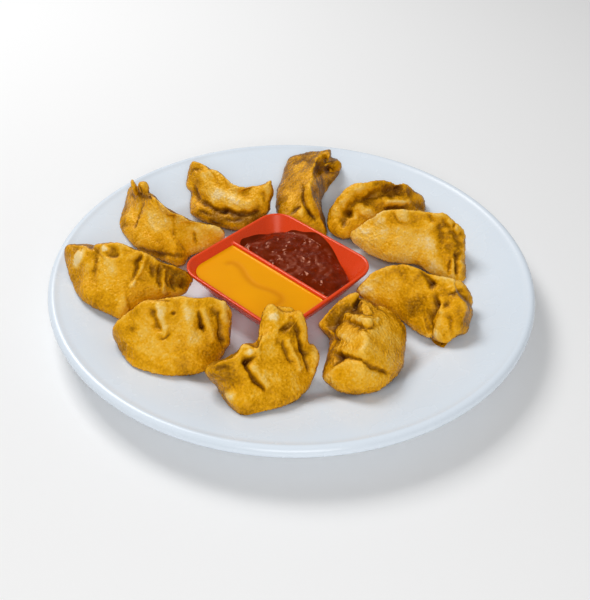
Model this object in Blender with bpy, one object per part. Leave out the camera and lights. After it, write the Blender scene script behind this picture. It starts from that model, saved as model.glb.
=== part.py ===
"""Ten fried momo dumplings round a two-part dip dish, on one dinner plate. Metres, +Z up.

Each dumpling is a round wrapper folded over its filling: a rounded belly, and a thin sealed rim
that runs along it from tip to tip. It is made as a sphere drawn out along a bent spine, with a
teardrop section whose point is the rim, and then pressed by hand-like folds.
"""
import math

import bmesh
import bpy
from mathutils import Matrix, Vector

MM = 0.001
GAP = 0.3 * MM

# Plate: a 280 mm melamine dinner plate with a flat well, a wide rim and a rolled lip.
PLATE_RADIUS = 140 * MM
PLATE_HEIGHT = 21 * MM
WELL_FLOOR = 6 * MM
WELL_RADIUS = 88 * MM
SHOULDER_RADIUS = 104 * MM
SHOULDER_RISE = 5 * MM
RIM_START = 94 * MM
RIM_END = 147 * MM
RIM_RISE = 10.6 * MM
RIM_STATIONS = (88, 93, 98, 103, 109, 117, 126, 133.5)
LIP_RADIUS = 2.6 * MM
LIP_START_DEG = 130
LIP_STEP_DEG = 40
LIP_STEPS = 7
PLATE_WALL = 3.6 * MM
FOOT_OUTER = 80 * MM
FOOT_INNER = 72 * MM
FOOT_HEIGHT = 2.2 * MM
FOOT_SLOPE = 2 * MM
PLATE_STEPS = 60

# Dip dish: a square dish with sloping walls, turned so that a corner faces the front.
DISH_CENTRE = Vector((-8.2 * MM, -7.4 * MM, 0))
DISH_TURN = math.radians(-42.7)
DISH_HEIGHT = 19 * MM
DISH_RIM_HALF = 42 * MM
DISH_FOOT_HALF = 30 * MM
DISH_RIM_CORNER = 14 * MM
DISH_FOOT_CORNER = 9 * MM
DISH_WALL = 2.4 * MM
DISH_FLOOR = 2.4 * MM
DISH_RIM_DEPTH = 1.6 * MM
DISH_RIM_ROUND = 0.6 * MM
CUTTER_OVERRUN = 1 * MM
DIVIDER_WIDTH = 2.6 * MM
DIVIDER_DROP = 2.6 * MM
DIVIDER_CORNER = 3 * MM
CORNER_STEPS = 5
ORANGE_LEVEL = 14.4 * MM
CHILLI_LEVEL = 11.6 * MM
CHILLI_SHOULDER = 1.8 * MM
CHILLI_HEAP = 2.8 * MM
CHILLI_SHOULDER_INSET = 4 * MM
CHILLI_TOP_INSET = 9 * MM

# Dumpling mesh: rings along the spine, and points round each ring.
RINGS = 22
RING_POINTS = 15
RIM_CROWDING = 1.35
RIM_EDGE = 1.5
RIM_NARROWNESS = 5
REST_GAP = 2 * GAP


def material(name, colour, roughness):
    """One Principled material in a plain colour."""
    mat = bpy.data.materials.new(name)
    mat.use_nodes = True
    shader = mat.node_tree.nodes["Principled BSDF"]
    shader.inputs["Base Color"].default_value = (*colour, 1)
    shader.inputs["Roughness"].default_value = roughness
    shader.inputs["Metallic"].default_value = 0
    return mat


def add_object(name, bm, mat, smooth_angle=40):
    """Turn a bmesh into a named, smooth-shaded object."""
    mesh = bpy.data.meshes.new(name)
    bm.to_mesh(mesh)
    bm.free()
    mesh.shade_smooth()
    mesh.set_sharp_from_angle(angle=math.radians(smooth_angle))
    mesh.materials.append(mat)
    obj = bpy.data.objects.new(name, mesh)
    bpy.context.collection.objects.link(obj)
    return obj


def smoothstep(low, high, value):
    """Ease from 0 at low to 1 at high."""
    t = min(1, max(0, (value - low) / (high - low)))
    return t * t * (3 - 2 * t)


def plate_top(radius):
    """Height of the plate's upper face at a distance from its centre, short of the lip."""
    shoulder = SHOULDER_RISE * smoothstep(WELL_RADIUS, SHOULDER_RADIUS, radius)
    rim = RIM_RISE * smoothstep(RIM_START, RIM_END, radius)
    return WELL_FLOOR + shoulder + rim


def plate_profile():
    """Half section of the plate, from the middle of its upper face round to its underside."""
    top = [Vector((0, 0, WELL_FLOOR))]
    stations = [station * MM for station in RIM_STATIONS]
    for radius in stations:
        top.append(Vector((radius, 0, plate_top(radius))))
    lip = []
    lip_centre = Vector((PLATE_RADIUS - LIP_RADIUS, 0, PLATE_HEIGHT - LIP_RADIUS))
    for step in range(LIP_STEPS):
        angle = math.radians(LIP_START_DEG - LIP_STEP_DEG * step)
        lip.append(lip_centre + LIP_RADIUS * Vector((math.cos(angle), 0, math.sin(angle))))
    under = []
    for radius in reversed(stations[2:-1]):
        under.append(Vector((radius, 0, plate_top(radius) - PLATE_WALL)))
    under.append(Vector((FOOT_OUTER + FOOT_SLOPE, 0, FOOT_HEIGHT)))
    under.append(Vector((FOOT_OUTER, 0, 0)))
    under.append(Vector((FOOT_INNER, 0, 0)))
    under.append(Vector((FOOT_INNER - FOOT_SLOPE, 0, FOOT_HEIGHT)))
    under.append(Vector((0, 0, FOOT_HEIGHT)))
    return top + lip + under


def make_plate():
    """The plate's half section, spun round the vertical axis."""
    bm = bmesh.new()
    verts = [bm.verts.new(point) for point in plate_profile()]
    edges = [bm.edges.new(pair) for pair in zip(verts, verts[1:])]
    bmesh.ops.spin(
        bm, geom=verts + edges, cent=(0, 0, 0), axis=(0, 0, 1), dvec=(0, 0, 0),
        angle=math.tau, steps=PLATE_STEPS, use_merge=True,
    )
    bmesh.ops.remove_doubles(bm, verts=bm.verts, dist=0.01 * MM)
    bmesh.ops.recalc_face_normals(bm, faces=bm.faces)
    return add_object("plate", bm, material("melamine_white", (0.76, 0.80, 0.84), 0.25))


def rounded_rectangle(bm, half_x, low_y, high_y, low_corner, high_corner, height):
    """A level ring of vertices round a rectangle, with one corner radius at each end of Y."""
    ring = []
    for quarter in range(4):
        sign_x = 1 if quarter in (0, 3) else -1
        corner = high_corner if quarter in (0, 1) else low_corner
        middle_y = high_y - corner if quarter in (0, 1) else low_y + corner
        centre = Vector((sign_x * (half_x - corner), middle_y, height))
        for step in range(CORNER_STEPS + 1):
            angle = math.radians(90 * quarter + 90 * step / CORNER_STEPS)
            arm = corner * Vector((math.cos(angle), math.sin(angle), 0))
            ring.append(bm.verts.new(centre + arm))
    return ring


def loft(bm, rings):
    """Close a stack of rings into one solid."""
    for lower, upper in zip(rings, rings[1:]):
        count = len(lower)
        for i in range(count):
            j = (i + 1) % count
            bm.faces.new((lower[i], lower[j], upper[j], upper[i]))
    bm.faces.new(reversed(rings[0]))
    bm.faces.new(rings[-1])


def dish_frame():
    """Place of the dish: its foot stands on the plate's well."""
    place = Matrix.Translation(DISH_CENTRE + Vector((0, 0, WELL_FLOOR + GAP)))
    return place @ Matrix.Rotation(DISH_TURN, 4, "Z")


def dish_half_side(height):
    """Half width of the dish's outer wall at a height above its foot."""
    return DISH_FOOT_HALF + (DISH_RIM_HALF - DISH_FOOT_HALF) * height / DISH_HEIGHT


def dish_corner(height):
    """Radius of the dish's corners at a height above its foot."""
    return DISH_FOOT_CORNER + (DISH_RIM_CORNER - DISH_FOOT_CORNER) * height / DISH_HEIGHT


def compartment(bm, side, levels):
    """A solid on one side of the divider. Each level is a height and an inset from the walls."""
    rings = []
    for height, inset in levels:
        inner_edge = DIVIDER_WIDTH / 2 + inset
        outer_edge = dish_half_side(height) - DISH_WALL - inset
        outer_corner = max(DIVIDER_CORNER, dish_corner(height) - DISH_WALL - inset / 2)
        edges = (inner_edge, outer_edge, DIVIDER_CORNER, outer_corner)
        if side < 0:
            edges = (-outer_edge, -inner_edge, outer_corner, DIVIDER_CORNER)
        rings.append(rounded_rectangle(bm, outer_edge, *edges, height))
    loft(bm, rings)


def cutter(name, bm):
    """A hidden solid that cuts a hollow."""
    obj = add_object(name, bm, bpy.data.materials["melamine_red"])
    obj.matrix_world = dish_frame()
    obj.hide_render = True
    obj.display_type = "WIRE"
    return obj


def cut(target, tool):
    """Boolean difference."""
    modifier = target.modifiers.new(tool.name, "BOOLEAN")
    modifier.operation = "DIFFERENCE"
    modifier.solver = "EXACT"
    modifier.object = tool


def make_dish():
    """A sloping square dish, hollowed on each side of a low divider."""
    mat = material("melamine_red", (0.80, 0.06, 0.015), 0.25)
    bm = bmesh.new()
    rings = []
    rim_start = DISH_HEIGHT - DISH_RIM_DEPTH
    for height in (0, rim_start, DISH_HEIGHT - DISH_RIM_ROUND, DISH_HEIGHT):
        half = dish_half_side(min(height, rim_start))
        if height == DISH_HEIGHT:
            half -= DISH_RIM_ROUND
        corner = dish_corner(height)
        rings.append(rounded_rectangle(bm, half, -half, half, corner, corner, height))
    loft(bm, rings)
    dish = add_object("dip_dish", bm, mat)
    dish.matrix_world = dish_frame()

    for side, name in ((-1, "cut_front"), (1, "cut_back")):
        bm = bmesh.new()
        compartment(bm, side, ((DISH_FLOOR, 0), (DISH_HEIGHT + CUTTER_OVERRUN, 0)))
        cut(dish, cutter(name, bm))
    bm = bmesh.new()
    bmesh.ops.create_cube(bm, size=1)
    top = DISH_HEIGHT - DIVIDER_DROP
    length = 2 * (dish_half_side(top) - DISH_WALL - CUTTER_OVERRUN)
    width = DIVIDER_WIDTH + 2 * CUTTER_OVERRUN
    bmesh.ops.scale(bm, verts=bm.verts, vec=(length, width, 2 * DIVIDER_DROP))
    bmesh.ops.translate(bm, verts=bm.verts, vec=(0, 0, top + DIVIDER_DROP))
    cut(dish, cutter("cut_above_divider", bm))


def make_dips():
    """Two dips: a thin orange one that lies level, and a thick chilli one spooned into a heap."""
    bottom = (DISH_FLOOR + GAP, GAP)
    orange = (bottom, (ORANGE_LEVEL, GAP))
    chilli = (
        bottom,
        (CHILLI_LEVEL, GAP),
        (CHILLI_LEVEL + CHILLI_SHOULDER, CHILLI_SHOULDER_INSET),
        (CHILLI_LEVEL + CHILLI_HEAP, CHILLI_TOP_INSET),
    )
    dips = (
        ("orange_dip", -1, orange, (0.83, 0.35, 0.0)),
        ("chilli_dip", 1, chilli, (0.12, 0.015, 0.004)),
    )
    for name, side, levels, colour in dips:
        bm = bmesh.new()
        compartment(bm, side, levels)
        dip = add_object(name, bm, material(name, colour, 0.2))
        dip.matrix_world = dish_frame()


def clear_of_dish(point):
    """Push a point out of the dish: sideways through a wall, or up over the rim."""
    local = dish_frame().inverted() @ point
    over = DISH_HEIGHT + REST_GAP - local.z
    half = dish_half_side(min(DISH_HEIGHT, max(0, local.z))) + REST_GAP
    # Distance inside a square whose corners are rounded.
    corner = dish_corner(min(DISH_HEIGHT, max(0, local.z)))
    flat = half - corner
    beyond = Vector((max(0, abs(local.x) - flat), max(0, abs(local.y) - flat)))
    if beyond.x > 0 and beyond.y > 0:
        depth = corner - beyond.length
        way = beyond.normalized()
        way = Vector((math.copysign(way.x, local.x), math.copysign(way.y, local.y), 0))
    elif abs(local.x) > abs(local.y):
        depth = half - abs(local.x)
        way = Vector((math.copysign(1, local.x), 0, 0))
    else:
        depth = half - abs(local.y)
        way = Vector((0, math.copysign(1, local.y), 0))
    if over <= 0 or depth <= 0:
        return point
    if over < depth:
        local.z += over
    else:
        local += depth * way
    return dish_frame() @ local


def rest_on_plate(point):
    """Flatten what would sink into the plate."""
    floor = plate_top(math.hypot(point.x, point.y)) + REST_GAP
    point.z = max(point.z, floor)
    return point


def teardrop(turn, sharpness):
    """Width of a teardrop section: 0 at the rim (turn 0) and at the belly's end (turn pi)."""
    widest = 2 * ((sharpness + 1) / (sharpness + 2)) ** ((sharpness + 1) / 2)
    widest /= math.sqrt(sharpness + 2)
    return math.sin(turn) * abs(math.sin(turn / 2)) ** sharpness / widest


def spine_frame(along, size):
    """Point and axes of the bent spine at a place from -1 (one tip) to 1 (the other)."""
    bend = math.radians(size["bend"])
    rise = math.radians(size["rise"])
    side = Vector((0, math.cos(rise), math.sin(rise)))
    other = Vector((0, -math.sin(rise), math.cos(rise)))
    half = size["length"] / 2
    angle = bend * along / 2
    if abs(bend) < 0.01:
        place = Vector((half * along, 0, 0))
    else:
        radius = half / (bend / 2)
        place = Vector((radius * math.sin(angle), 0, 0)) + radius * (1 - math.cos(angle)) * side
    inward = -math.sin(angle) * Vector((1, 0, 0)) + math.cos(angle) * side
    across = math.cos(rise) * inward - math.sin(rise) * other
    upward = math.sin(rise) * inward + math.cos(rise) * other
    return place, across, upward


def dumpling_point(direction, size):
    """Where a point of the unit sphere lies on the dumpling, in mm about its own middle."""
    along = max(-1, min(1, direction.x))
    turn = math.atan2(direction.y, direction.z)
    turn = math.copysign(math.pi * abs(turn / math.pi) ** RIM_CROWDING, turn)
    blunt = size["blunt"][0] if along < 0 else size["blunt"][1]
    taper = (1 - abs(along) ** blunt) ** 0.5
    width = size["front"] if turn < 0 else size["back"]
    rim = ((1 + math.cos(turn)) / 2) ** RIM_NARROWNESS
    across = width * taper * teardrop(turn, size["sharp"])
    across += RIM_EDGE * math.sin(turn) * taper ** 0.5
    upward = size["tall"] * taper * math.cos(turn) + size["rim"] * taper ** 0.6 * rim
    wave = math.sin(math.pi * size["pleats"] * (along + size["shift"]))
    across += size["frill"] * rim * taper ** 0.5 * wave
    lean = math.radians(size["lean"] + size["twist"] * along)
    rolled_across = across * math.cos(lean) + upward * math.sin(lean)
    rolled_upward = upward * math.cos(lean) - across * math.sin(lean)
    place, side, up = spine_frame(along, size)
    point = place + rolled_across * side + rolled_upward * up
    for fold in size["folds"]:
        where, reach, push = Vector(fold[0:3]), fold[3], Vector(fold[4:7])
        point += push * math.exp(-((point - where).length / reach) ** 2)
    return point


def make_dumpling(name, mat, **size):
    """A sphere with its poles at the tips, drawn into a dumpling and set down on the plate."""
    bm = bmesh.new()
    bmesh.ops.create_uvsphere(bm, u_segments=RING_POINTS, v_segments=RINGS, radius=1)
    bmesh.ops.rotate(bm, verts=bm.verts, cent=(0, 0, 0), matrix=Matrix.Rotation(math.pi / 2, 3, "Y"))
    turn = Matrix.Rotation(math.radians(size["heading"]), 3, "Z")
    tip = Matrix.Rotation(math.radians(-size["pitch"]), 3, "Y")
    place = Vector((size["x"], size["y"], 0)) * MM
    place.z = plate_top(place.length) + size["z"] * MM
    for vert in bm.verts:
        point = turn @ tip @ dumpling_point(vert.co.normalized(), size)
        point = place + point * MM
        vert.co = rest_on_plate(clear_of_dish(point))
    return add_object(name, bm, mat, smooth_angle=60)


DUMPLING = dict(
    x=0, y=0, z=12, heading=0, pitch=0, length=68, bend=0, rise=0, front=17, back=17, tall=14,
    rim=5, sharp=1.0, lean=0, twist=0, blunt=(2, 2), pleats=5, shift=0, frill=1.5, folds=(),
)

DUMPLINGS = (
    dict(
        DUMPLING, x=10, y=90, heading=74, length=72, bend=-58, front=17, back=17, tall=15, lean=-14,
        blunt=(2.4, 3.5), folds=(
            (22, 14, 10, 14, 0, 6, 3), (4, -18, 0, 14, 0, 5, 0), (-30, -14, -6, 9, -3, -7, -4),
        ),
    ),
    dict(
        DUMPLING, x=53, y=63, heading=16, length=66, bend=24, front=16, back=16, blunt=(2.6, 2.6),
        pleats=9,
    ),
    dict(
        DUMPLING, x=71, y=26, heading=-8, length=72, bend=10, front=19, back=15, blunt=(1.6, 3),
        folds=((34, -8, 0, 16, 0, -12, -4), (30, 6, 16, 12, 0, 0, 3)),
    ),
    dict(
        DUMPLING, x=71, y=-27, heading=-22, length=72, bend=-78, front=15, back=16,
        blunt=(2, 3.4), folds=((28, -14, 0, 14, -2, -9, 0),),
    ),
    dict(
        DUMPLING, x=39, y=-67, heading=82, length=60, front=21, back=21, tall=15, blunt=(3, 2.2),
        folds=((16, 20, -4, 12, 5, 9, -3), (-22, 12, 0, 12, 0, 3, 0)),
    ),
    dict(
        DUMPLING, x=-15, y=-84, heading=38, length=56, front=25, back=12, blunt=(1.8, 5), rim=4,
        folds=(
            (28, 1, 8, 10, 1, 0, 18), (15, 10, 8, 10, -3, 5, 20), (24, -8, 4, 12, -3, 1, 2),
            (-24, 8, 4, 12, -2, 5, 2), (-28, -8, -4, 9, 6, 4, 0), (-18, -13, -6, 9, 0, -6, -2),
            (14, -20, -4, 10, -3, 4, 0),
        ),
    ),
    dict(DUMPLING, x=-62, y=-60, heading=7, length=65, front=23, back=18, tall=15, blunt=(1.9, 2.6)),
    dict(
        DUMPLING, x=-97, y=-17, heading=-14, length=72, bend=14, front=23, back=17,
        blunt=(1.45, 2.2), folds=(
            (-32, 8, 4, 14, -2, 8, 4), (-24, -14, 0, 12, 4, 3, 0), (35, 1, 0, 15, -1, 9, -2),
        ),
    ),
    dict(
        DUMPLING, x=-81, y=42, heading=-40, length=80, bend=60, front=18, back=13, lean=-8,
        blunt=(1.5, 2), folds=((-36, 8, 4, 14, 0, -2, 2),),
    ),
    dict(
        DUMPLING, x=-43, y=73, heading=-27, length=70, bend=64, rise=55, front=16, back=14,
        rim=3, blunt=(2.3, 2.2), folds=(
            (8, 6, 14, 16, 0, 0, -4), (-28, 6, 18, 10, -3, 2, 4), (33, 5, 8, 8, -4, 1, 9),
        ),
    ),
)


def make_dumplings():
    """Ten dumplings, numbered clockwise from the one at the far side of the plate."""
    crust = material("fried_crust", (0.72, 0.36, 0.04), 0.5)
    for number, size in enumerate(DUMPLINGS, start=1):
        make_dumpling(f"momo_{number:02d}", crust, **size)


for old in list(bpy.data.objects):
    bpy.data.objects.remove(old, do_unlink=True)
make_plate()
make_dish()
make_dips()
make_dumplings()
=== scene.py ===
import math

import bmesh
import bpy
import numpy as np
from mathutils import Matrix, Vector, noise


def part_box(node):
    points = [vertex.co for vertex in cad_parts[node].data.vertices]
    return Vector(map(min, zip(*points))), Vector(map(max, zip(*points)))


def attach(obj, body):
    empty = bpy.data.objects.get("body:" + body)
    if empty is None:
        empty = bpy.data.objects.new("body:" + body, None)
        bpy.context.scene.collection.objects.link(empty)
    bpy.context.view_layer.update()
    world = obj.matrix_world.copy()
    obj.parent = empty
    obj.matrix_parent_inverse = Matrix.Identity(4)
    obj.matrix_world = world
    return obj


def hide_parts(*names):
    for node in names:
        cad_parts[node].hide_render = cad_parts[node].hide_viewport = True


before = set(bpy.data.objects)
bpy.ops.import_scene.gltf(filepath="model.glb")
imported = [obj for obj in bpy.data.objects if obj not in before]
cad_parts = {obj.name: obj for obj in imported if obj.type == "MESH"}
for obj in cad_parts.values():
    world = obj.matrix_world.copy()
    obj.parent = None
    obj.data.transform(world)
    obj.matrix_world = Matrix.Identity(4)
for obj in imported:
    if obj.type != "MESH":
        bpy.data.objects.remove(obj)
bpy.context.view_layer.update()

MM = 0.001


# --- The table and the light ------------------------------------------------------------------
# A plain pale table top, a broad soft light behind the plate's left side, a weaker one in front,
# and an even white surround. The eye is where a seated diner's is.

def paint(hex_colour):
    """An sRGB hex colour as linear RGBA."""
    channels = [int(hex_colour[i:i + 2], 16) / 255 for i in (1, 3, 5)]
    linear = [c / 12.92 if c <= 0.04045 else ((c + 0.055) / 1.055) ** 2.4 for c in channels]
    return (*linear, 1)


def new_material(name, sockets):
    """A Principled material with the given sockets set on the shader itself."""
    mat = bpy.data.materials.new(name)
    mat.use_nodes = True
    shader = mat.node_tree.nodes["Principled BSDF"]
    for key, value in sockets.items():
        shader.inputs[key].default_value = value
    return mat, shader


def finish_mesh(name, bm, mat, sharp=50):
    """A bmesh made into an object at the origin, smooth but for edges past the sharp angle."""
    mesh = bpy.data.meshes.new(name)
    bm.to_mesh(mesh)
    bm.free()
    mesh.shade_smooth()
    mesh.set_sharp_from_angle(angle=math.radians(sharp))
    mesh.materials.append(mat)
    piece = bpy.data.objects.new(name, mesh)
    bpy.context.scene.collection.objects.link(piece)
    return piece


TABLE_HALF = 6
TABLE_GAP = 0.2 * MM
bm = bmesh.new()
bmesh.ops.create_grid(bm, x_segments=1, y_segments=1, size=TABLE_HALF)
bmesh.ops.translate(bm, verts=bm.verts, vec=(0, 0, -TABLE_GAP))
table_paint, _ = new_material("matt_white_table", {"Base Color": paint("#f7f7f7"), "Roughness": 0.8})
table = finish_mesh("table", bm, table_paint)

# The eye looks at the middle of the plate's rim, and then turns a little aside.
EYE = Vector((0, -375.2, 312.5)) * MM
RIM_MIDDLE = Vector((0, 0, 21)) * MM
PAN = math.radians(0.2273)
TILT = math.radians(-2.614)
ROLL = math.radians(1.011)
ahead = (RIM_MIDDLE - EYE).normalized()
right = ahead.cross(Vector((0, 0, 1))).normalized()
upward = right.cross(ahead)
ahead = ahead * math.cos(PAN) + right * math.sin(PAN)
right = ahead.cross(upward).normalized()
ahead = ahead * math.cos(TILT) + upward * math.sin(TILT)
upward = right.cross(ahead)
right, upward = (
    right * math.cos(ROLL) + upward * math.sin(ROLL),
    upward * math.cos(ROLL) - right * math.sin(ROLL),
)
camera = bpy.data.objects.new("camera", bpy.data.cameras.new("camera"))
camera.data.lens = 48.54
camera.data.sensor_width = 36
camera.data.clip_start = 0.02
camera.matrix_world = Matrix.Translation(EYE) @ Matrix((right, upward, -ahead)).transposed().to_4x4()
bpy.context.scene.collection.objects.link(camera)
bpy.context.scene.camera = camera

LIGHTS = (
    dict(name="key", place=(-0.5, 0.6, 0.95), side=0.5, power=8.6),
    dict(name="fill", place=(0.05, -1.0, 0.75), side=0.6, power=6.8),
)
for light in LIGHTS:
    lamp = bpy.data.objects.new(light["name"], bpy.data.lights.new(light["name"], "AREA"))
    lamp.data.shape = "SQUARE"
    lamp.data.size = light["side"]
    lamp.data.energy = light["power"]
    lamp.location = light["place"]
    lamp.rotation_euler = (-lamp.location).to_track_quat("-Z", "Y").to_euler()
    bpy.context.scene.collection.objects.link(lamp)
world = bpy.data.worlds.new("white_surround")
world.use_nodes = True
surround = world.node_tree.nodes["Background"]
surround.inputs["Color"].default_value = (1, 1, 1, 1)
surround.inputs["Strength"].default_value = 0.25
bpy.context.scene.world = world
bpy.context.scene.view_settings.view_transform = "Standard"


# --- The plate --------------------------------------------------------------------------------
# A dinner plate pressed from white melamine: flat well, low shoulder, wide sloping rim and a
# rolled lip. It is one turned shape, and stands on a thin foot ring.

PLATE_RADIUS = 140.0
PLATE_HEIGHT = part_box("plate")[1].z / MM
WELL_FLOOR = 6.0
WELL_RADIUS = 88.0
SHOULDER_RADIUS = 104.0
SHOULDER_RISE = 5.0
RIM_START = 94.0
RIM_END = 147.0
RIM_RISE = 10.6
PLATE_WALL = 3.6
LIP_RADIUS = 3.2
LIP_START = 132.4
FOOT_OUTER = 80.0
FOOT_INNER = 72.0
FOOT_HEIGHT = 2.2
FOOT_EASE = 0.6
LIP_STEPS = 16
PLATE_STEPS = 256


def ease(low, high, value):
    """From 0 at low to 1 at high, level at both ends. It takes numbers and arrays."""
    t = np.clip((value - low) / (high - low), 0, 1)
    return t * t * (3 - 2 * t)


def plate_top(radius):
    """Height in mm of the plate's upper face, short of the lip."""
    shoulder = SHOULDER_RISE * ease(WELL_RADIUS, SHOULDER_RADIUS, radius)
    return WELL_FLOOR + shoulder + RIM_RISE * ease(RIM_START, RIM_END, radius)


def plate_section():
    """Half section of the plate in mm, from the middle of the well round to the underside."""
    top = [(0, WELL_FLOOR)]
    stations = [20, 40, 60, 75, 82, *np.arange(WELL_RADIUS, LIP_START - 1, 1.5), LIP_START]
    top += [(radius, float(plate_top(radius))) for radius in stations]
    lip = []
    for step in range(LIP_STEPS + 1):
        angle = math.radians(130 - 240 * step / LIP_STEPS)
        lip.append((
            PLATE_RADIUS - LIP_RADIUS + LIP_RADIUS * math.cos(angle),
            PLATE_HEIGHT - LIP_RADIUS + LIP_RADIUS * math.sin(angle),
        ))
    under = []
    for radius in reversed(stations[10:-2]):
        under.append((radius, float(plate_top(radius)) - PLATE_WALL))
    under += [(FOOT_OUTER + 2, FOOT_HEIGHT), (FOOT_OUTER + FOOT_EASE, FOOT_EASE / 2), (FOOT_OUTER, 0)]
    under += [(FOOT_INNER, 0), (FOOT_INNER - FOOT_EASE, FOOT_EASE / 2), (FOOT_INNER - 2, FOOT_HEIGHT)]
    under += [(FOOT_OUTER / 2, FOOT_HEIGHT), (0, FOOT_HEIGHT)]
    return top + lip + under


def add_node(mat, kind, inputs=None, **settings):
    """Adds a node. Each input is given a value, or another node's output to link to."""
    made = mat.node_tree.nodes.new(kind)
    for name, value in settings.items():
        setattr(made, name, value)
    for key, value in (inputs or {}).items():
        if isinstance(value, bpy.types.NodeSocket):
            mat.node_tree.links.new(value, made.inputs[key])
        else:
            made.inputs[key].default_value = value
    return made


def cloud(mat, size, detail):
    """Soft noise whose clouds are the given number of mm across."""
    place = add_node(mat, "ShaderNodeTexCoord").outputs["Object"]
    inputs = {"Vector": place, "Scale": 1 / (size * MM), "Detail": detail}
    return add_node(mat, "ShaderNodeTexNoise", inputs).outputs["Fac"]


def spread(mat, value, low, high, at_low, at_high):
    """A value from low to high, turned into one from at_low to at_high."""
    inputs = {"Value": value, "From Min": low, "From Max": high, "To Min": at_low, "To Max": at_high}
    return add_node(mat, "ShaderNodeMapRange", inputs).outputs["Result"]


def blend(mat, share, first, second):
    """A colour between two. Each is an sRGB hex colour or another node's output."""
    first, second = (paint(tone) if isinstance(tone, str) else tone for tone in (first, second))
    return add_node(mat, "ShaderNodeMix", {0: share, 6: first, 7: second}, data_type="RGBA").outputs[2]


def moulded_melamine():
    """White melamine: hard, glossy and faintly blue, with a light haze where it is worn."""
    mat, shader = new_material("moulded_melamine", {"Roughness": 0.24, "IOR": 1.5})
    tone = blend(mat, cloud(mat, size=60, detail=3), "#e0ebf6", "#e9f2fb")
    mat.node_tree.links.new(tone, shader.inputs["Base Color"])
    # Wear dulls the gloss here and there.
    gloss = spread(mat, cloud(mat, size=18, detail=3), 0.35, 0.7, 0.25, 0.29)
    mat.node_tree.links.new(gloss, shader.inputs["Roughness"])
    return mat


bm = bmesh.new()
section = [bm.verts.new((radius * MM, 0, height * MM)) for radius, height in plate_section()]
edges = [bm.edges.new(pair) for pair in zip(section, section[1:])]
bmesh.ops.spin(
    bm, geom=section + edges, cent=(0, 0, 0), axis=(0, 0, 1), dvec=(0, 0, 0),
    angle=math.tau, steps=PLATE_STEPS, use_merge=True,
)
bmesh.ops.remove_doubles(bm, verts=bm.verts, dist=0.01 * MM)
bmesh.ops.recalc_face_normals(bm, faces=bm.faces)
plate = finish_mesh("dinner_plate", bm, moulded_melamine())
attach(plate, "root")
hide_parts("plate")


# --- The dip dish -----------------------------------------------------------------------------
# A square two-part dish moulded in orange-red melamine, with sloping walls, round corners and a
# low divider. It stands loose in the plate's well with one corner towards the diner.

DISH_TURN = math.radians(-42.7)
DISH_MIDDLE = Vector((-8.2, -7.4, WELL_FLOOR + 0.3))
DISH_HEIGHT = 19.0
DISH_RIM_HALF = 42.0
DISH_FOOT_HALF = 30.0
DISH_RIM_CORNER = 14.0
DISH_FOOT_CORNER = 9.0
DISH_WALL = 2.4
DISH_FLOOR = 2.4
FLOOR_EASE = 1.5
RIM_EASE = 1.2
EDGE_RADIUS = 0.7
DIVIDER_WIDTH = 2.6
DIVIDER_DROP = 2.6
CORNER_STEPS = 12
dish_place = Matrix.Translation(DISH_MIDDLE) @ Matrix.Rotation(DISH_TURN, 4, "Z")
dish_place = Matrix.Scale(MM, 4) @ dish_place


def dish_half(height):
    """Half width in mm of the dish's outer wall at a height above its foot."""
    return DISH_FOOT_HALF + (DISH_RIM_HALF - DISH_FOOT_HALF) * height / DISH_HEIGHT


def dish_corner(height):
    """Radius in mm of the dish's corners at a height above its foot."""
    return DISH_FOOT_CORNER + (DISH_RIM_CORNER - DISH_FOOT_CORNER) * height / DISH_HEIGHT


def square_ring(bm, half, corner, height):
    """A level square ring with round corners."""
    ring = []
    for quarter in range(4):
        middle_x = (half - corner) * (1 if quarter in (0, 3) else -1)
        middle_y = (half - corner) * (1 if quarter in (0, 1) else -1)
        for step in range(CORNER_STEPS + 1):
            angle = math.radians(90 * quarter + 90 * step / CORNER_STEPS)
            x = middle_x + corner * math.cos(angle)
            y = middle_y + corner * math.sin(angle)
            ring.append(bm.verts.new((x, y, height)))
    return ring


def skin_rings(bm, rings):
    """Walls between the rings, and a lid on each end."""
    for lower, upper in zip(rings, rings[1:]):
        for i in range(len(lower)):
            j = (i + 1) % len(lower)
            bm.faces.new((lower[i], lower[j], upper[j], upper[i]))
    bm.faces.new(reversed(rings[0]))
    bm.faces.new(rings[-1])


def glossy_red_melamine():
    """Orange-red melamine: an even moulded colour under a high gloss, slightly worn on top."""
    mat, shader = new_material("glossy_red_melamine", {
        "Roughness": 0.28, "IOR": 1.5, "Specular IOR Level": 0.6, "Specular Tint": paint("#ffd6c8"),
    })
    tone = blend(mat, cloud(mat, size=20, detail=4), "#e8410f", "#f04c18")
    mat.node_tree.links.new(tone, shader.inputs["Base Color"])
    gloss = spread(mat, cloud(mat, size=4, detail=5), 0.3, 0.7, 0.22, 0.34)
    mat.node_tree.links.new(gloss, shader.inputs["Roughness"])
    return mat


def combine(piece, bm, operation):
    """Cuts a bmesh's solid out of a piece, or joins it on."""
    other = finish_mesh("other", bm, piece.data.materials[0])
    modifier = piece.modifiers.new("combine", "BOOLEAN")
    modifier.operation = operation
    modifier.solver = "EXACT"
    modifier.object = other
    apply_modifiers(piece)
    bpy.data.objects.remove(other, do_unlink=True)


def apply_modifiers(piece):
    """Puts the piece's modifiers into its mesh."""
    graph = bpy.context.evaluated_depsgraph_get()
    mesh = bpy.data.meshes.new_from_object(piece.evaluated_get(graph))
    piece.modifiers.clear()
    old, piece.data = piece.data, mesh
    bpy.data.meshes.remove(old)


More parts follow.
